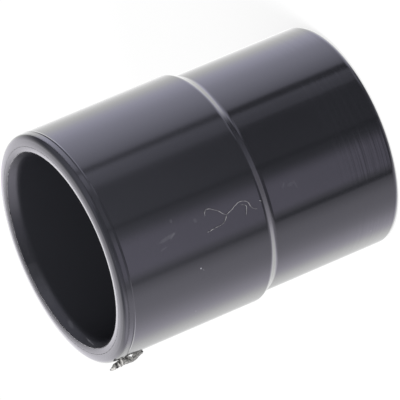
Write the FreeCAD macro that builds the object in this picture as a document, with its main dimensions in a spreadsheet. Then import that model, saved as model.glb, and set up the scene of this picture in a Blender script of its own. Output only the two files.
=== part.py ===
"""Reducing sleeve for solvent-cement pressure pipe, moulded in one piece.

The part stands on its small end. Z runs along the pipe axis, from the mouth of the socket
in the small end, at height 0, up to the mouth of the spigot end. Lengths are millimetres.
"""
import FreeCAD, Part
import os
import Sketcher

# Driving dimensions: alias, value, what it sizes.
SIZES = [
    ("spigot_diameter", 50.0, "outside of the spigot, which goes into a 50 mm socket"),
    ("spigot_wall", 4.6, "wall of the spigot just below its lead-in"),
    ("socket_bore", 40.2, "inside of the socket, which takes a 40 mm pipe"),
    ("socket_wall", 3.8, "wall round the socket"),
    ("overall_length", 66.5, "from end face to end face"),
    ("socket_section", 29.9, "length of the small section, up to the foot of the shoulder"),
    ("shoulder_bevel", 1.65, "axial length of the bevelled shoulder between the sections"),
    ("shoulder_fillet", 1.8, "hollow radius where the shoulder meets the small section"),
    ("shoulder_edge", 0.5, "rounding of the shoulder's outer edge"),
    ("spigot_edge", 1.5, "rounding of the spigot's outer end edge"),
    ("spigot_lip", 0.5, "rounding of the spigot's inner end edge"),
    ("socket_edge", 1.2, "rounding of the socket's outer end edge"),
    ("parting_gap", 0.6, "from the end rounding down to the parting line"),
    ("parting_width", 0.5, "width of the raised parting line"),
    ("parting_height", 0.07, "height of the raised parting line"),
    ("socket_depth", 26.0, "how far the pipe goes in, up to the stop"),
    ("socket_lead", 1.0, "axial length of the socket's lead-in"),
    ("socket_flare", 0.6, "how much wider in radius the socket's lead-in starts"),
    ("stop_ledge", 2.6, "width of the ledge that stops the pipe"),
    ("throat_length", 3.0, "straight throat beyond the stop"),
    ("taper_length", 8.0, "cone from the throat out to the spigot's bore"),
    ("spigot_draft", 0.1, "how much narrower in radius the spigot's bore is at the cone"),
    ("spigot_lead", 2.1, "axial length of the spigot's lead-in"),
    ("spigot_flare", 1.0, "how much wider in radius the spigot's lead-in starts"),
]

# Sizes that follow from the driving ones: alias, formula over the aliases above.
DERIVED = [
    ("spigot_radius", "spigot_diameter / 2"),
    ("socket_radius", "socket_bore / 2"),
    ("small_radius", "socket_radius + socket_wall"),
    ("shoulder_top", "socket_section + shoulder_bevel"),
    ("parting_high", "overall_length - spigot_edge - parting_gap"),
    ("parting_low", "parting_high - parting_width"),
    ("throat_radius", "socket_radius - stop_ledge"),
    ("throat_end", "socket_depth + throat_length"),
    ("taper_end", "throat_end + taper_length"),
    ("bore_radius", "spigot_radius - spigot_wall"),
]

# Outside of the sleeve, anticlockwise from the axis at the small end: radius, height.
OUTSIDE = [
    ("0", "0"),
    ("small_radius", "0"),
    ("small_radius", "socket_section"),
    ("spigot_radius", "shoulder_top"),
    ("spigot_radius", "parting_low"),
    ("spigot_radius + parting_height", "(parting_low + parting_high) / 2"),
    ("spigot_radius", "parting_high"),
    ("spigot_radius", "overall_length"),
    ("0", "overall_length"),
]

# Waterway from the socket's mouth, past the pipe stop and the cone, to the spigot's mouth.
WATERWAY = [
    ("0", "0"),
    ("socket_radius + socket_flare", "0"),
    ("socket_radius", "socket_lead"),
    ("socket_radius", "socket_depth"),
    ("throat_radius", "socket_depth"),
    ("throat_radius", "throat_end"),
    ("bore_radius - spigot_draft", "taper_end"),
    ("bore_radius", "overall_length - spigot_lead"),
    ("bore_radius + spigot_flare", "overall_length"),
    ("0", "overall_length"),
]

TOLERANCE = 1e-6


def make_sheet(doc):
    """Put the driving dimensions, and the ones that follow from them, in a spreadsheet."""
    sheet = doc.addObject("Spreadsheet::Sheet", "Sizes")
    for row, (alias, value, meaning) in enumerate(SIZES, start=1):
        sheet.set(f"A{row}", meaning)
        sheet.set(f"B{row}", str(value))
        sheet.setAlias(f"B{row}", alias)
    for row, (alias, formula) in enumerate(DERIVED, start=len(SIZES) + 1):
        sheet.set(f"A{row}", alias.replace("_", " "))
        sheet.set(f"B{row}", "=" + formula)
        sheet.setAlias(f"B{row}", alias)
    doc.recompute()
    return sheet


def in_sheet(formula):
    """The formula with each alias read from the sheet by its full name."""
    words = formula.replace("(", "( ").replace(")", " )").split()
    return " ".join("Sizes." + word if word[0].isalpha() else word for word in words)


def origin_plane(body, role):
    """The body's own origin plane of that role."""
    return next(plane for plane in body.Origin.OriginFeatures if plane.Role == role)


def axial_sketch(body, name, outline):
    """A closed outline in the plane through the axis, each corner held by the sheet."""
    sketch = body.newObject("Sketcher::SketchObject", name)
    sketch.AttachmentSupport = [(origin_plane(body, "XZ_Plane"), "")]
    sketch.MapMode = "FlatFace"
    formulas = [(in_sheet(across), in_sheet(up)) for across, up in outline]
    corners = [
        FreeCAD.Vector(sketch.evalExpression(across), sketch.evalExpression(up), 0)
        for across, up in formulas
    ]
    lines = len(corners)
    for i in range(lines):
        sketch.addGeometry(Part.LineSegment(corners[i], corners[(i + 1) % lines]))
    for i in range(lines):
        sketch.addConstraint(Sketcher.Constraint("Coincident", i, 2, (i + 1) % lines, 1))
    for i, corner in enumerate(corners):
        for kind, distance, formula in zip(("DistanceX", "DistanceY"), corner, formulas[i]):
            held = sketch.addConstraint(Sketcher.Constraint(kind, -1, 1, i, 1, distance))
            sketch.setExpression(f"Constraints[{held}]", formula)
    return sketch


def turned(body, kind, name, sketch):
    """A full turn of the sketch about the axis, adding or cutting material."""
    feature = body.newObject(kind, name)
    feature.Profile = sketch
    feature.ReferenceAxis = (sketch, ["V_Axis"])
    feature.Angle = 360.0
    sketch.Visibility = False
    return feature


def ring_edges(sheet, shape, radius, height):
    """Names of the circular edges with this radius at this height."""
    want = (sheet.evalExpression(in_sheet(radius)), sheet.evalExpression(in_sheet(height)))
    names = []
    for number, edge in enumerate(shape.Edges, start=1):
        if not isinstance(edge.Curve, Part.Circle):
            continue
        found = (edge.Curve.Radius, edge.Curve.Center.z)
        if all(abs(a - b) < TOLERANCE for a, b in zip(found, want)):
            names.append(f"Edge{number}")
    return names


def rounded(body, sheet, name, size, radius, height):
    """Round the ring edge at this radius and height by one size of the sheet."""
    base = body.Tip
    fillet = body.newObject("PartDesign::Fillet", name)
    fillet.Base = (base, ring_edges(sheet, base.Shape, radius, height))
    fillet.setExpression("Radius", in_sheet(size))
    return fillet


def make_reducer(doc, sheet):
    """The one moulded piece: turned outside, bored waterway, then its rounded edges."""
    body = doc.addObject("PartDesign::Body", "reducer_body")
    body.Label = "reducer_body"
    turned(body, "PartDesign::Revolution", "outside", axial_sketch(body, "outside_outline", OUTSIDE))
    doc.recompute()
    turned(body, "PartDesign::Groove", "waterway", axial_sketch(body, "waterway_outline", WATERWAY))
    doc.recompute()
    edges = [
        ("shoulder_foot", "shoulder_fillet", "small_radius", "socket_section"),
        ("shoulder_crest", "shoulder_edge", "spigot_radius", "shoulder_top"),
        ("spigot_outer_edge", "spigot_edge", "spigot_radius", "overall_length"),
        ("spigot_inner_edge", "spigot_lip", "bore_radius + spigot_flare", "overall_length"),
        ("socket_outer_edge", "socket_edge", "small_radius", "0"),
    ]
    for name, size, radius, height in edges:
        rounded(body, sheet, name, size, radius, height)
        doc.recompute()
    return body


def check(doc, bodies):
    """Stop where an object failed to build or a piece isn't one valid solid."""
    for item in doc.Objects:
        if {"Invalid", "Error"} & set(item.State):
            raise RuntimeError(f"{item.Label} failed to build: {item.State}")
    for body in bodies:
        shape = body.Shape
        if shape.isNull() or not shape.isValid() or len(shape.Solids) != 1:
            raise RuntimeError(f"{body.Label} is not one valid solid")


doc = FreeCAD.newDocument("reducer")
sheet = make_sheet(doc)
bodies = [make_reducer(doc, sheet)]
check(doc, bodies)

os.makedirs("parts", exist_ok=True)
for body in bodies:
    body.Shape.exportStep(f"parts/{body.Label}.step")
    box = body.Shape.optimalBoundingBox()
    print(f"{body.Label}: {box.XLength:.2f} x {box.YLength:.2f} x {box.ZLength:.2f} mm, "
          f"{body.Shape.Volume / 1000:.2f} cm3")
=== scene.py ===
"""Looks of the pipe reducer: glossy dark grey PVC, with what its moulding and handling left on it.

The reducer stands on its socket end, and Z runs up its axis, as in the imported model. Sizes
below are millimetres unless a name says otherwise; MM turns them into metres for Blender.
A turn is an angle round the axis in degrees, 0 on the camera's side and growing towards +X.
"""

import math

import bpy
import numpy as np
from mathutils import Matrix, Vector


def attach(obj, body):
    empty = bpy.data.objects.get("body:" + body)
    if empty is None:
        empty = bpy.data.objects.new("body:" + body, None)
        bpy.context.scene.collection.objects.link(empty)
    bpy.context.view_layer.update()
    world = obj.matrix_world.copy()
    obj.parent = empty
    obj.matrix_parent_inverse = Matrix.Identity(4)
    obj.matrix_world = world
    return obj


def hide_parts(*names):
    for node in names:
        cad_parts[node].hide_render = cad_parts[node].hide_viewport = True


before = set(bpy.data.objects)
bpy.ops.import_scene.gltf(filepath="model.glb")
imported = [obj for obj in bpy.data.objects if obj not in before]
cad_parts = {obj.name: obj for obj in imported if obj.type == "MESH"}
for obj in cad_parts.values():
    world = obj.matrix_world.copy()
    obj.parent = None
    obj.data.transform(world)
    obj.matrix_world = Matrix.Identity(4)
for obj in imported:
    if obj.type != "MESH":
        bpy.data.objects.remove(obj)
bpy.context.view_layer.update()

MM = 0.001

# The moulded body, as the CAD part has it: radii and heights.
SPIGOT_R = 25.0
SMALL_R = 23.9
SHOULDER_FOOT = 29.9
SHOULDER_TOP = 31.55
PARTING_Z = 64.15
PARTING_HALF = 0.25
PARTING_RISE = 0.07
LENGTH = 66.5
LEAD_Z = 64.4
BORE_R = 20.4
BORE_FOOT_R = 20.3
BORE_FOOT_Z = 37.0
THROAT_R = 17.5
THROAT_END = 29.0
SOCKET_R = 20.1
SOCKET_DEPTH = 26.0
SOCKET_LEAD = 1.0
SOCKET_MOUTH_R = 20.7

# Closed outline of the wall, anticlockwise: radius, height, rounding of that corner. Above the
# parting line the wall leans in a little, and the two large roundings next to LENGTH make the
# end face a shallow crown.
WALL = [
    (SMALL_R, 0.0, 1.2),
    (SMALL_R, SHOULDER_FOOT, 1.8),
    (SPIGOT_R, SHOULDER_TOP, 1.2),
    (SPIGOT_R, PARTING_Z - PARTING_HALF, 0.1),
    (SPIGOT_R + PARTING_RISE, PARTING_Z, 0.12),
    (SPIGOT_R, PARTING_Z + PARTING_HALF, 0.1),
    (24.96, 65.25, 1.5),
    (24.95, 66.18, 1.1),
    (23.2, LENGTH, 6.5),
    (21.98, LENGTH, 5.0),
    (21.35, 66.33, 0.3),
    (BORE_R, LEAD_Z, 3.5),
    (BORE_FOOT_R, BORE_FOOT_Z, 0.8),
    (THROAT_R, THROAT_END, 0.4),
    (THROAT_R, SOCKET_DEPTH, 0.15),
    (SOCKET_R, SOCKET_DEPTH, 0.15),
    (SOCKET_R, SOCKET_LEAD, 0.3),
    (SOCKET_MOUTH_R, 0.0, 0.15),
]
# Steps along each rounding, the hair's breadth on either side of it, and steps round the axis.
ARC_STEPS = 8
EASE = 0.02
TURNS = 256
# The mouth and the bore, inside this radius, are duller than the outside, and the change from
# one to the other is DULL_FADE wide.
DULL_R = 21.6
DULL_FADE = 0.3

# The torn moulding remnant, in the plane through the axis at its turn: radius, height and
# half width of its ragged strip from the tip, past the rim, to its foot on the wall.
REMNANT_TURN = -90.0
REMNANT = [
    (26.17, 66.69, 0.10), (26.20, 66.30, 0.30), (26.05, 65.78, 0.45), (25.86, 65.28, 0.60),
    (25.80, 64.62, 0.62), (25.73, 64.07, 0.73), (25.57, 63.40, 0.80), (25.60, 62.64, 0.80),
    (25.80, 61.84, 0.66), (25.93, 61.21, 0.50), (25.50, 60.25, 0.62), (25.33, 59.45, 0.52),
    (25.30, 58.78, 0.38), (25.38, 58.46, 0.10),
]
REMNANT_THICK = 0.32
REMNANT_THIN = 0.06
REMNANT_STEPS = 110
REMNANT_SIDES = 28
# Pits and folds of the strip, each along a line from one radius and height to another, with
# its size and its rise, which is below 0 for a pit.
REMNANT_MARKS = [
    (25.25, 65.15, 25.35, 65.10, 0.30, -0.45), (26.05, 65.00, 26.15, 64.95, 0.26, -0.35),
    (25.81, 64.20, 26.40, 63.95, 0.13, -0.45), (26.00, 63.30, 26.05, 63.20, 0.18, -0.25),
    (26.00, 62.60, 26.00, 62.45, 0.22, -0.32), (25.85, 61.95, 25.85, 61.80, 0.20, -0.22),
    (25.35, 58.90, 25.35, 58.75, 0.20, -0.22), (25.17, 64.45, 26.00, 64.60, 0.15, 0.30),
    (25.20, 63.85, 26.20, 63.55, 0.16, 0.30), (25.90, 65.85, 26.20, 66.30, 0.30, 0.24),
    (25.10, 63.10, 25.15, 62.60, 0.28, 0.14), (26.20, 61.50, 26.15, 61.20, 0.22, 0.16),
]

# Threads of the lint on the larger section, each through places given as turn and height. Their
# wander is in degrees.
THREADS = [
    [(-11.0, 44.54), (-9.42, 44.38), (-8.69, 43.52), (-11.02, 41.73), (-14.22, 40.24),
     (-14.12, 39.52), (-12.96, 38.25), (-11.51, 36.93), (-11.49, 35.84), (-12.83, 34.77),
     (-15.23, 34.41), (-16.83, 33.9), (-17.73, 33.12)],
    [(-14.6, 39.9), (-17.65, 41.08), (-18.24, 42.99), (-18.88, 45.06)],
    [(-12.73, 36.39), (-14.15, 35.35), (-16.3, 35.5), (-18.49, 35.91)],
    [(-14.5, 32.2), (-14.7, 32.0), (-14.9, 31.8)],
]
THREAD_R = 0.048
THREAD_LIFT = 0.05
THREAD_WANDER = 0.10
THREAD_SIDES = 8
STEPS_A_KNOT = 22

# Seeds of the unevenness: the strip's width, its thickness, and the first thread's wander.
WIDTH_SEED = 11
THICK_SEED = 23
THREAD_SEED = 40

# Smears and specks on the outside: turn, height, half length, half width, lean, strength.
MARKS = [
    (-13.9, 52.6, 0.9, 0.22, -54, 0.7),
    (-13.9, 53.8, 2.0, 0.40, -80, 0.6),
    (-18.0, 55.2, 0.9, 0.18, 100, 0.5),
    (-7.2, 51.9, 0.4, 0.30, 0, 0.5),
    (-11.4, 46.9, 0.5, 0.35, 20, 0.5),
    (-13.7, 24.0, 0.8, 0.40, 100, 0.35),
    (-14.6, 23.0, 1.0, 0.22, 15, 0.35),
    (-12.9, 25.6, 0.7, 0.22, 150, 0.3),
    (-34.8, 48.1, 0.18, 0.15, 0, 9.0),
    (-36.0, 47.6, 0.35, 0.12, 30, 0.8),
    (-61.4, 6.5, 0.16, 0.12, 0, 3.0),
    (-61.0, 49.3, 0.14, 0.12, 0, 3.0),
]
# Painted highlights on the lead-in of the open mouth: pale streaks and patches, in the same
# columns.
LEAD_HIGHLIGHTS = [
    (-111.0, 65.35, 3.0, 0.15, 7, 1.5),
    (-135.0, 65.0, 1.6, 0.4, 10, 0.5),
    (-168.0, 65.5, 7.0, 1.4, 0, 0.2),
]

# The camera, from the photograph's perspective: its direction in this frame, and its lens. The
# axis at AIM_HEIGHT lies right and down of the picture's centre by AIM_RIGHT and AIM_DOWN.
VIEW_TILT = math.radians(67.356)
VIEW_ROLL = math.radians(22.914)
VIEW_DISTANCE = 1405.7
AIM_HEIGHT = 33.0
AIM_RIGHT = 0.217
AIM_DOWN = -1.731
LENS = 618.16
SENSOR = 36.0

# The studio: half the floor's width, and the lamp's place, width and power in watts.
FLOOR_HALF = 1500.0
LAMP_PLACE = (-40.0, -90.0, 150.0)
LAMP_SIZE = 60.0
LAMP_POWER = 0.3

# Linear colours of the finishes, and how strongly the plastic bends light.
PVC_DARK = (0.0099, 0.0102, 0.0123, 1)
PVC_PALE = (0.0129, 0.0133, 0.0161, 1)
# The dust colour also paints the pale highlights on the lead-in of the mouth.
DUST_AND_HIGHLIGHT = (0.60, 0.60, 0.66, 1)
# The torn strip's pit colour is painted shade, and its fold colour a painted highlight.
PAINTED_PIT_SHADE = (0.024, 0.023, 0.022, 1)
TORN_DARK = (0.07, 0.069, 0.066, 1)
TORN_PALE = (0.18, 0.178, 0.17, 1)
PAINTED_FOLD_HIGHLIGHT = (0.34, 0.333, 0.318, 1)
LINT_DARK = (0.085, 0.083, 0.089, 1)
LINT_PALE = (0.25, 0.243, 0.25, 1)
WHITE = (1, 1, 1, 1)
PVC_IOR = 1.53


def unit(vectors):
    """The rows of an array, each divided by its length."""
    return vectors / np.linalg.norm(vectors, axis=-1, keepdims=True)


def rounded_outline(corners, steps, ease):
    """A closed outline with every corner turned into an arc of its own radius.

    An arc meets its two sides at radius * tan(half the turn) from the corner, and its points
    lie at equal angles round its centre. One more point goes on each side, a hair before and
    after the arc, so that smooth shading ends there.
    """
    corners = np.array(corners, float)
    points, radius = corners[:, :2], corners[:, 2:]
    arriving = unit(points - np.roll(points, 1, axis=0))
    leaving = np.roll(arriving, -1, axis=0)
    turn = np.arctan2(arriving[:, 0] * leaving[:, 1] - arriving[:, 1] * leaving[:, 0],
                      (arriving * leaving).sum(axis=1))[:, None]
    reach = radius * np.tan(np.abs(turn) / 2)
    left = np.stack([-arriving[:, 1], arriving[:, 0]], axis=1) * np.sign(turn)
    start = points - arriving * reach
    centre = start + left * radius
    angle = turn * np.linspace(0, 1, steps + 1)
    spoke = start - centre
    arc_x = centre[:, :1] + spoke[:, :1] * np.cos(angle) - spoke[:, 1:] * np.sin(angle)
    arc_y = centre[:, 1:] + spoke[:, :1] * np.sin(angle) + spoke[:, 1:] * np.cos(angle)
    arc = np.stack([arc_x, arc_y], axis=2)
    before = (start - arriving * ease)[:, None]
    after = (points + leaving * (reach + ease))[:, None]
    return np.concatenate([before, arc, after], axis=1).reshape(-1, 2)


def smooth_line(knots, count):
    """A Catmull-Rom curve through the knots, at equal steps of the knot number."""
    knots = np.array(knots, float)
    longer = np.concatenate([2 * knots[:1] - knots[1:2], knots, 2 * knots[-1:] - knots[-2:-1]])
    place = np.linspace(0, len(knots) - 1, count)
    first = np.minimum(place.astype(int), len(knots) - 2)
    t = (place - first)[:, None]
    a, b, c, d = (longer[first + i] for i in range(4))
    return 0.5 * (2 * b + (c - a) * t + (2 * a - 5 * b + 4 * c - d) * t ** 2
                  + (3 * b - a - 3 * c + d) * t ** 3)


def grid_faces(rows, columns, wrap_rows, wrap_columns):
    """Quads of a rows by columns grid of points, joined end to start where it wraps."""
    row = np.arange(rows if wrap_rows else rows - 1)[:, None]
    column = np.arange(columns if wrap_columns else columns - 1)[None]
    next_row, next_column = (row + 1) % rows, (column + 1) % columns
    quads = [row * columns + column, row * columns + next_column,
             next_row * columns + next_column, next_row * columns + column]
    return np.stack(np.broadcast_arrays(*quads), axis=-1).reshape(-1, 4)


def turned(outline, turns):
    """A closed outline of radius and height carried once round the Z axis.

    Its points are (radius * cos(a), radius * sin(a), height), with a going once round.
    """
    angle = np.arange(turns) * math.tau / turns
    radius, height = outline[:, :1], outline[:, 1:]
    points = np.stack(np.broadcast_arrays(
        radius * np.cos(angle), radius * np.sin(angle), height), axis=-1)
    return points.reshape(-1, 3), grid_faces(len(outline), turns, True, True)


def tube(centres, away, half_across, half_away):
    """A closed tube round a line of centres, with one point at each end.

    Each ring is centre + cos(a) * half_across * across + sin(a) * half_away * away, with a
    going once round. Across is square to both the line and away. The half sizes have a row
    for each ring and a column for each of its points.
    """
    rings, sides = half_across.shape
    along = unit(np.gradient(centres, axis=0))
    away = unit(away - (away * along).sum(axis=1, keepdims=True) * along)
    across = np.cross(away, along)
    angle = np.arange(sides) * math.tau / sides
    points = (centres[:, None] + (np.cos(angle) * half_across)[..., None] * across[:, None]
              + (np.sin(angle) * half_away)[..., None] * away[:, None])
    side = np.arange(sides)
    following = (side + 1) % sides
    first_end, last_end = rings * sides, rings * sides + 1
    last_ring = (rings - 1) * sides
    caps = np.concatenate([
        np.stack([np.full(sides, first_end), following, side], axis=1),
        np.stack([np.full(sides, last_end), last_ring + side, last_ring + following], axis=1)])
    points = np.concatenate([points.reshape(-1, 3), centres[:1], centres[-1:]])
    return points, grid_faces(rings, sides, False, True).tolist() + caps.tolist()


def waves(seed, count, u, v):
    """Smooth seeded unevenness of u and v, about -1 to 1, that repeats once v has gone round.

    It is the sum of count sines of along * u + around * v + phase, divided by the root of count.
    """
    random = np.random.default_rng(seed)
    total = np.zeros(np.broadcast_shapes(u.shape, v.shape))
    for _ in range(count):
        along = random.uniform(4.0, 34.0)
        around = random.integers(0, 6)
        total = total + np.sin(along * u + around * v + random.uniform(0, math.tau))
    return total / math.sqrt(count)


def surface(name, points, faces, material):
    """A smooth-shaded mesh object from points in millimetres."""
    mesh = bpy.data.meshes.new(name)
    mesh.from_pydata(points * MM, [], faces)
    mesh.shade_smooth()
    mesh.materials.append(material)
    made = bpy.data.objects.new(name, mesh)
    bpy.context.scene.collection.objects.link(made)
    return made


def piece(name, points, faces, material):
    """A surface that belongs to the reducer and moves with it."""
    made = surface(name, points, faces, material)
    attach(made, "root")
    return made


def on_outside(turn, height, radius):
    """Points at these turns, heights and radii, and their directions away from the axis.

    A point is (radius * sin(turn), -radius * cos(turn), height).
    """
    turn = np.radians(turn)
    away = np.stack([np.sin(turn), -np.cos(turn), np.zeros_like(turn)], axis=-1)
    points = away * np.expand_dims(radius, -1)
    points[..., 2] = height
    return points, away


def moulding_remnant(material):
    """The crumpled strip of flash that hangs on the rim: a tube with a ragged flat section.

    Its line runs in the plane through the axis. Half width and thickness vary by 7 and 22
    percent with seeded waves. The relief is the sum over the pits and folds of rise times
    exp(-(distance to its line / size) squared). The thickness takes 0.6 of it, and the material
    reads it from an attribute, in which the tube's two end points have 0.
    """
    line = smooth_line(REMNANT, REMNANT_STEPS)
    radius, height, half_width = line.T
    centres, away = on_outside(np.full_like(radius, REMNANT_TURN), height, radius)
    aside = np.cross([0.0, 0.0, 1.0], away)
    along = np.linspace(0, 1, len(line))[:, None]
    round_ring = (np.arange(REMNANT_SIDES) * math.tau / REMNANT_SIDES)[None]
    width = half_width[:, None] * (1 + 0.07 * waves(WIDTH_SEED, 7, along * 2, round_ring))
    thick = REMNANT_THICK * np.sqrt(half_width / half_width.max())[:, None]
    thick = thick * (1 + 0.22 * waves(THICK_SEED, 9, along * 2, round_ring))
    spot_radius = radius[:, None] + half_width[:, None] * np.cos(round_ring)
    spots = np.stack([spot_radius, height[:, None] + 0 * round_ring], axis=-1)
    relief = np.zeros_like(width)
    for *ends, size, rise in REMNANT_MARKS:
        start, end = np.array(ends[:2]), np.array(ends[2:])
        share = np.clip((spots - start) @ (end - start) / ((end - start) ** 2).sum(), 0, 1)
        apart = spots - start - share[..., None] * (end - start)
        relief = relief + rise * np.exp(-(apart ** 2).sum(axis=-1) / size ** 2)
    thick = np.maximum(thick + relief * 0.6, REMNANT_THIN)
    points, faces = tube(centres, aside, width, thick)
    made = piece("moulding_remnant", points, faces, material)
    # The material reads the relief to paint shade in the pits and highlights on the folds.
    attribute = made.data.attributes.new("relief", "FLOAT", "POINT")
    attribute.data.foreach_set("value", np.append(relief.ravel(), [0.0, 0.0]))


def lint_fibre(material):
    """Loose threads on the larger section: fine tubes that wander just above the surface.

    The wander turns a thread by about THREAD_WANDER degrees either way and lifts it, and each
    thread narrows to 0.3 of its radius over the last 9 percent at each end.
    """
    points, faces = [], []
    for number, knots in enumerate(THREADS):
        turn, height = smooth_line(knots, STEPS_A_KNOT * len(knots)).T
        along = np.linspace(0, 1, len(turn))
        wander = waves(THREAD_SEED + number, 5, along * 3, np.zeros(1))
        lift = THREAD_LIFT * (1 + wander / 2)
        centres, away = on_outside(turn + THREAD_WANDER * wander, height,
                                   SPIGOT_R + THREAD_R + lift)
        ends = np.minimum(1, 8 * np.minimum(along, 1 - along) + 0.3)
        size = np.tile((THREAD_R * ends)[:, None], (1, THREAD_SIDES))
        thread_points, thread_faces = tube(centres, away, size, size)
        start = sum(len(group) for group in points)
        faces += [[corner + start for corner in face] for face in thread_faces]
        points.append(thread_points)
    piece("lint_fibre", np.concatenate(points), faces, material)


class Signal:
    """One output of a shader node. Arithmetic on it adds Math nodes to the same tree."""

    def __init__(self, nodes, socket):
        self.nodes = nodes
        self.socket = socket

    def math(self, operation, *values):
        """A Math node on these values, which are numbers or signals."""
        return self.nodes.add("ShaderNodeMath", {"operation": operation}, dict(enumerate(values)))

    def __add__(self, other):
        return self.math("ADD", self, other)

    def __sub__(self, other):
        return self.math("SUBTRACT", self, other)

    def __rsub__(self, other):
        return self.math("SUBTRACT", other, self)

    def __mul__(self, other):
        return self.math("MULTIPLY", self, other)

    def __truediv__(self, other):
        return self.math("DIVIDE", self, other)

    def __neg__(self):
        return self.math("MULTIPLY", self, -1.0)

    def __abs__(self):
        return self.math("ABSOLUTE", self)

    __radd__ = __add__
    __rmul__ = __mul__


class Nodes:
    """A node tree that is filled through one method."""

    def __init__(self, tree):
        self.tree = tree
        tree.nodes.clear()

    def add(self, kind, settings=None, inputs=None, output=0):
        """A node with its settings made first, then its inputs, as numbers or signals."""
        node = self.tree.nodes.new(kind)
        for name, value in (settings or {}).items():
            setattr(node, name, value)
        for name, value in (inputs or {}).items():
            if isinstance(value, Signal):
                self.tree.links.new(value.socket, node.inputs[name])
            else:
                node.inputs[name].default_value = value
        return Signal(self, node.outputs[output]) if len(node.outputs) else None

    def split(self, vector):
        """The x, y and z of a vector."""
        first = self.add("ShaderNodeSeparateXYZ", {}, {0: vector})
        return [Signal(self, output) for output in first.socket.node.outputs]

    def ramp(self, low, high, value):
        """0 up to low, 1 from high, and a smooth rise between; low may be the larger one."""
        return self.add("ShaderNodeMapRange", {"interpolation_type": "SMOOTHERSTEP"},
                        {"Value": value, "From Min": low, "From Max": high})

    def blend(self, factor, first, second):
        """The first colour where the factor is 0 and the second where it is 1."""
        return self.add("ShaderNodeMix", {"data_type": "RGBA"},
                        {"Factor": factor, 6: first, 7: second}, output=2)

    def grain(self, place, across, along, detail, seed):
        """Noise with so many waves to the millimetre across and along the axis."""
        spot = self.add("ShaderNodeMapping", {}, {
            "Vector": place, "Location": (seed, -seed, 2 * seed),
            "Scale": (across / MM, across / MM, along / MM)})
        return self.add("ShaderNodeTexNoise", {}, {"Vector": spot, "Scale": 1.0, "Detail": detail})


def new_material(name):
    """An empty node material and its nodes."""
    material = bpy.data.materials.new(name)
    material.use_nodes = True
    return material, Nodes(material.node_tree)


def pvc_material():
    """Glossy dark grey PVC: faint cloudiness, fine grain, turning marks, smears, specks, painted
    highlights.

    Arc is the distance round the outside from turn 0. Bump heights are in millimetres.
    """
    material, nodes = new_material("glossy_grey_pvc")
    place = nodes.add("ShaderNodeTexCoord", output="Object")
    x, y, height = (part * (1 / MM) for part in nodes.split(place))
    arc = x.math("ARCTAN2", x, -y) * SPIGOT_R
    inside = nodes.ramp(DULL_R, DULL_R - DULL_FADE, x.math("SQRT", x * x + y * y))

    def mark(turn, up, half_length, half_width, lean):
        """1 in the middle of a small oval on the outside, fading to 0 at its edge."""
        across = arc - math.radians(turn) * SPIGOT_R
        rise = height - up
        cosine, sine = math.cos(math.radians(lean)), math.sin(math.radians(lean))
        length = (across * cosine + rise * sine) / half_length
        width = (rise * cosine - across * sine) / half_width
        return nodes.ramp(1.6, 0.1, length * length + width * width)

    # Cloudiness, fine grain, turning marks, and the patches of dust, smears and painted
    # highlights.
    cloud = nodes.grain(place, 0.06, 0.04, 2.0, 3.1)
    fine = nodes.grain(place, 1.6, 1.6, 2.0, 7.7)
    rings = nodes.grain(place, 0.03, 1.3, 1.0, 5.3)
    patches = nodes.grain(place, 0.9, 0.9, 3.0, 9.1)
    # The outside marks are dust and smears; the lead-in marks are painted highlights in the same
    # pale colour.
    outer, lead_highlights = (sum(mark(*shape) * strength for *shape, strength in rows)
                    for rows in (MARKS, LEAD_HIGHLIGHTS))
    dust_and_highlights = (outer + lead_highlights * inside) * (0.1 + patches * 1.6)
    # The smaller section has the better polish, and the turning marks show towards its end.
    polish = nodes.ramp(34, 26, height)
    lathe = nodes.ramp(17, 8, height)
    bumps = fine * 0.0006 + rings * (0.0004 + 0.012 * lathe) + cloud * 0.02
    bump = nodes.add("ShaderNodeBump", {}, {"Height": bumps, "Distance": MM, "Strength": 1.0})
    colour = nodes.blend(cloud, PVC_DARK, PVC_PALE)
    colour = nodes.blend(dust_and_highlights * 0.045, colour, DUST_AND_HIGHLIGHT)
    roughness = 0.10 - 0.04 * polish + 0.06 * fine + 0.1 * dust_and_highlights + 0.2 * inside
    shader = nodes.add("ShaderNodeBsdfPrincipled", {}, {
        "Base Color": colour, "Roughness": roughness, "Normal": bump, "IOR": PVC_IOR})
    nodes.add("ShaderNodeOutputMaterial", {}, {"Surface": shader})
    return material


def torn_material():
    """Torn plastic: dull, streaky warm grey, painted highlights on its folds, painted shade in its
    pits.
    """
    material, nodes = new_material("torn_grey_pvc")
    place = nodes.add("ShaderNodeTexCoord", output="Object")
    relief = nodes.add("ShaderNodeAttribute", {"attribute_name": "relief"}, output="Fac")
    streaks = nodes.grain(place, 4.0, 1.2, 4.0, 2.3)
    fine = nodes.grain(place, 9.0, 9.0, 2.0, 6.1)
    colour = nodes.blend(nodes.ramp(0.35, 0.65, streaks), TORN_DARK, TORN_PALE)
    # Painted highlights where the relief rises into folds, painted shade where it sinks into pits.
    colour = nodes.blend(nodes.ramp(0.04, 0.24, relief), colour, PAINTED_FOLD_HIGHLIGHT)
    colour = nodes.blend(nodes.ramp(-0.06, -0.24, relief), colour, PAINTED_PIT_SHADE)
    bumps = streaks * 0.10 + fine * 0.03
    bump = nodes.add("ShaderNodeBump", {}, {"Height": bumps, "Distance": MM, "Strength": 1.0})
    shader = nodes.add("ShaderNodeBsdfPrincipled", {}, {
        "Base Color": colour, "Roughness": 0.5 + 0.2 * streaks, "Normal": bump, "IOR": PVC_IOR})
    nodes.add("ShaderNodeOutputMaterial", {}, {"Surface": shader})
    return material


def lint_material():
    """Pale grey textile fibre, a little uneven along its length."""
    material, nodes = new_material("pale_lint")
    place = nodes.add("ShaderNodeTexCoord", output="Object")
    uneven = nodes.grain(place, 0.8, 0.8, 2.0, 1.7)
    colour = nodes.blend(nodes.ramp(0.35, 0.65, uneven), LINT_DARK, LINT_PALE)
    shader = nodes.add("ShaderNodeBsdfPrincipled", {}, {"Base Color": colour, "Roughness": 0.8})
    nodes.add("ShaderNodeOutputMaterial", {}, {"Surface": shader})
    return material


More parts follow.
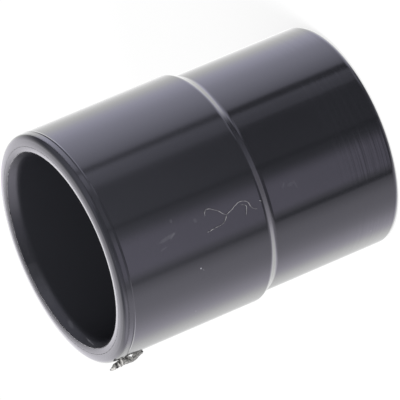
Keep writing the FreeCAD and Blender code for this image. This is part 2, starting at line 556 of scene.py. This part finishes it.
def softboxes(nodes, x, y, z):
    """Strength and tint of the studio that the gloss reflects, by the direction x, y, z.

    Azimuth is 0 on the camera's side and grows towards +X, which is up in the photograph, and
    z is the sine of the elevation. Each box is a product of smooth ramps in azimuth, y and z,
    and the strength is their sum. Upper and lower are as the photograph shows the part.
    """
    azimuth = x.math("ARCTAN2", x, -y) * (180 / math.pi)

    def strip(centre, half, soft):
        """1 within half a width of an azimuth, falling to 0 over the soft edge."""
        return nodes.ramp(half + soft / 2, half - soft / 2, abs(azimuth - centre))

    def lobe(elevation, spread):
        """Light from straight behind at an elevation, as a power of the cosine off it."""
        slope = math.radians(elevation)
        cosine = y * math.cos(slope) + z * math.sin(slope)
        return x.math("POWER", x.math("MAXIMUM", cosine, 0.0), spread)

    # Seen by the photo's camera, the smaller section mirrors directions slightly lower than the
    # larger one does. Beyond is 1 there, and makes its dark lines deeper and sharper.
    beyond = nodes.ramp(-0.365, -0.395, z) * nodes.ramp(-0.5, -0.43, z)

    # The great box on the upper side, with a strip along its near edge and a dark gap in it.
    upper = nodes.ramp(30, 103, azimuth) * (1 - nodes.ramp(104, 196, azimuth)) * 2.25
    upper = upper + strip(51 + beyond, 9 - beyond, 12 - beyond * 7) * 0.48
    upper = upper * (1 - strip(62, 2.5 + beyond * 1.5, 6) * 0.9)
    upper = upper * (1 - beyond * nodes.ramp(74, 56, azimuth) * 0.42)
    upper = upper * nodes.ramp(-0.05, -0.3, z) * nodes.ramp(-0.93, -0.82, z)

    # The box on the lower side, with a thin dark gap near its edge.
    lower = nodes.ramp(-42, -82, azimuth) * 1.35 + nodes.ramp(-75, -120, azimuth) * 0.35
    lower = lower * (1 - nodes.ramp(-128, -176, azimuth))
    gap = strip(-57, 2.0 + beyond * 0.5, 5 - beyond) * nodes.ramp(0.1, -0.1, z)
    lower = lower * (1 - gap * (0.75 + beyond * 0.2))
    lower = lower * nodes.ramp(0.85, 0.6, z) * nodes.ramp(-1.0, -0.86, z)
    lower = lower * (1 - nodes.ramp(-0.28, -0.12, z) * 0.3)

    # The low box in front, from just below the middle to the gap in the lower one.
    front = nodes.ramp(-1 - beyond * 3, -22 - beyond * 5, azimuth) * nodes.ramp(-58, -44, azimuth)
    front = front * nodes.ramp(-0.455, -0.395, z) * nodes.ramp(-0.2, -0.355, z)
    front = front * (0.9 + beyond * 0.16)

    # Two small boxes above the horizon: one in front, and a wider one at -X.
    small = strip(29, 6, 14) * nodes.ramp(0.2, 0.3, z) * nodes.ramp(0.5, 0.4, z) * 0.7
    side = strip(-92, 26, 20) * nodes.ramp(-0.05, 0.05, z) * nodes.ramp(0.55, 0.45, z) * 0.9

    # Wide weak light: overhead, high behind, low behind, straight down, all round but mostly in
    # front, and a level band that only the wall next to the mouth mirrors.
    overhead = nodes.ramp(-0.2, 0.1, z) * nodes.ramp(0.7, 0.1, y) * (0.30 + x * 0.22)
    high = nodes.ramp(0.55, 0.85, z) * nodes.ramp(0.25, 0.6, y) * 0.6
    under = nodes.ramp(-0.35, -0.5, z) * nodes.ramp(0.1, 0.4, y) * 0.7
    pole = nodes.ramp(-0.89, -0.97, z) * (0.6 - x * 1.5)
    faint = strip(0, 75, 60) * (0.18 - beyond * 0.13) + 0.05 - beyond * 0.02
    close = strip(0, 130, 40) * nodes.ramp(-0.379, -0.361, z) * nodes.ramp(-0.2, -0.33, z)

    # The dark round the camera, and a thin dark line straight in front.
    dark = strip(0, 30, 30) * nodes.ramp(0.0, -0.3, y) * nodes.ramp(-0.2, 0.1, z) * 0.85
    line = strip(-beyond, 1.5 + beyond * 1.5, 5) * nodes.ramp(0.3, 0.0, z) * 0.95

    level = (faint + overhead) * (1 - dark) + close * 0.27 + high + upper + lower + front
    level = (level + small + side + under + pole + lobe(10, 5.0) * 2.75) * (1 - line)

    # Lavender in front and on both sides, nearly white behind.
    tint = nodes.blend(nodes.ramp(30, -60, azimuth), (0.98, 0.97, 1.2, 1), (1.01, 0.97, 1.12, 1))
    tint = nodes.blend(strip(-31, 20, 14), tint, (1.03, 0.96, 1.25, 1))
    behind = nodes.blend(nodes.ramp(0.0, 0.2, z), WHITE, (1.01, 0.985, 1.06, 1))
    return level, nodes.blend(nodes.ramp(115, 145, abs(azimuth)), tint, behind)


def studio_world():
    """White behind everything, plain light on matt surfaces, and softboxes in reflections.

    The plain light is white from above and a tenth of that from below.
    """
    world = bpy.data.worlds.new("studio")
    bpy.context.scene.world = world
    world.use_nodes = True
    nodes = Nodes(world.node_tree)
    x, y, z = nodes.split(nodes.add("ShaderNodeTexCoord", output="Generated"))
    level, tint = softboxes(nodes, x, y, z)
    boxes = nodes.add("ShaderNodeVectorMath", {"operation": "SCALE"}, {0: tint, "Scale": level})
    plain = nodes.blend(nodes.ramp(-0.15, 0.12, z), (0.1, 0.1, 0.1, 1), WHITE)
    seen = nodes.blend(nodes.add("ShaderNodeLightPath", output="Is Glossy Ray"), plain, boxes)
    seen = nodes.blend(nodes.add("ShaderNodeLightPath", output="Is Camera Ray"), seen, WHITE)
    light = nodes.add("ShaderNodeBackground", {}, {"Color": seen, "Strength": 1.0})
    nodes.add("ShaderNodeOutputWorld", {}, {"Surface": light})
    world.cycles.sampling_method = "NONE"


def studio_floor():
    """A pale floor that shows white to the camera, keeps the shadow and is clear from below.

    To the camera it glows at 0.8 of white and adds 0.2 of the light that falls on it.
    """
    material, nodes = new_material("pale_floor")
    place = nodes.add("ShaderNodeTexCoord", output="Object")
    mottle = nodes.add("ShaderNodeTexNoise", {}, {"Vector": place, "Scale": 9.0})
    colour = nodes.blend(mottle, (0.84, 0.84, 0.84, 1), (0.86, 0.86, 0.86, 1))
    matt = nodes.add("ShaderNodeBsdfDiffuse", {}, {"Color": colour})
    part_matt = nodes.add("ShaderNodeBsdfDiffuse", {}, {"Color": (0.2, 0.2, 0.2, 1)})
    glow = nodes.add("ShaderNodeEmission", {}, {"Color": WHITE, "Strength": 0.8})
    white = nodes.add("ShaderNodeAddShader", {}, {0: part_matt, 1: glow})
    seen = nodes.add("ShaderNodeLightPath", output="Is Camera Ray")
    top = nodes.add("ShaderNodeMixShader", {}, {0: seen, 1: matt, 2: white})
    below = nodes.add("ShaderNodeNewGeometry", output="Backfacing")
    clear = nodes.add("ShaderNodeBsdfTransparent")
    both = nodes.add("ShaderNodeMixShader", {}, {0: below, 1: top, 2: clear})
    nodes.add("ShaderNodeOutputMaterial", {}, {"Surface": both})
    steps = np.linspace(-FLOOR_HALF, FLOOR_HALF, 5)
    across, along = np.meshgrid(steps, steps)
    points = np.stack([across, along, np.zeros_like(across)], axis=-1).reshape(-1, 3)
    faces = grid_faces(len(steps), len(steps), False, False)
    floor = surface("studio_floor", points, faces, material)
    floor.visible_glossy = False


def studio_lamp():
    """One soft lamp on the camera's side of the open mouth and above it."""
    data = bpy.data.lights.new("soft_lamp", "AREA")
    data.shape = "DISK"
    data.size = LAMP_SIZE * MM
    data.energy = LAMP_POWER
    lamp = bpy.data.objects.new("soft_lamp", data)
    bpy.context.scene.collection.objects.link(lamp)
    mouth, spot = Vector((0, 0, LENGTH)), Vector(LAMP_PLACE)
    lamp.location = spot * MM
    lamp.rotation_mode = "QUATERNION"
    lamp.rotation_quaternion = (spot - mouth).to_track_quat("Z", "Y")
    lamp.visible_camera = False
    lamp.visible_glossy = False


def photo_camera():
    """The camera that took the photograph, from the perspective of the object's rings."""
    tilt_sin, tilt_cos = math.sin(VIEW_TILT), math.cos(VIEW_TILT)
    roll_sin, roll_cos = math.sin(VIEW_ROLL), math.cos(VIEW_ROLL)
    forward = Vector((0, tilt_sin, -tilt_cos))
    right = Vector((-roll_sin, -tilt_cos * roll_cos, -tilt_sin * roll_cos))
    down = Vector((-roll_cos, tilt_cos * roll_sin, tilt_sin * roll_sin))
    aim = Vector((0, 0, AIM_HEIGHT))
    eye = aim - forward * VIEW_DISTANCE - right * AIM_RIGHT - down * AIM_DOWN
    data = bpy.data.cameras.new("photo_camera")
    data.lens, data.sensor_width = LENS, SENSOR
    data.clip_start, data.clip_end = 0.1, 20.0
    camera = bpy.data.objects.new("photo_camera", data)
    bpy.context.scene.collection.objects.link(camera)
    turn = Matrix((right, -down, -forward)).transposed().to_4x4()
    camera.matrix_world = Matrix.Translation(eye * MM) @ turn
    bpy.context.scene.camera = camera


outline = rounded_outline(WALL, ARC_STEPS, EASE)
body = piece("moulded_body", *turned(outline, TURNS), pvc_material())
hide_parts("reducer_body")
moulding_remnant(torn_material())
lint_fibre(lint_material())

studio_world()
studio_floor()
studio_lamp()
photo_camera()
bpy.context.scene.view_settings.view_transform = "Standard"
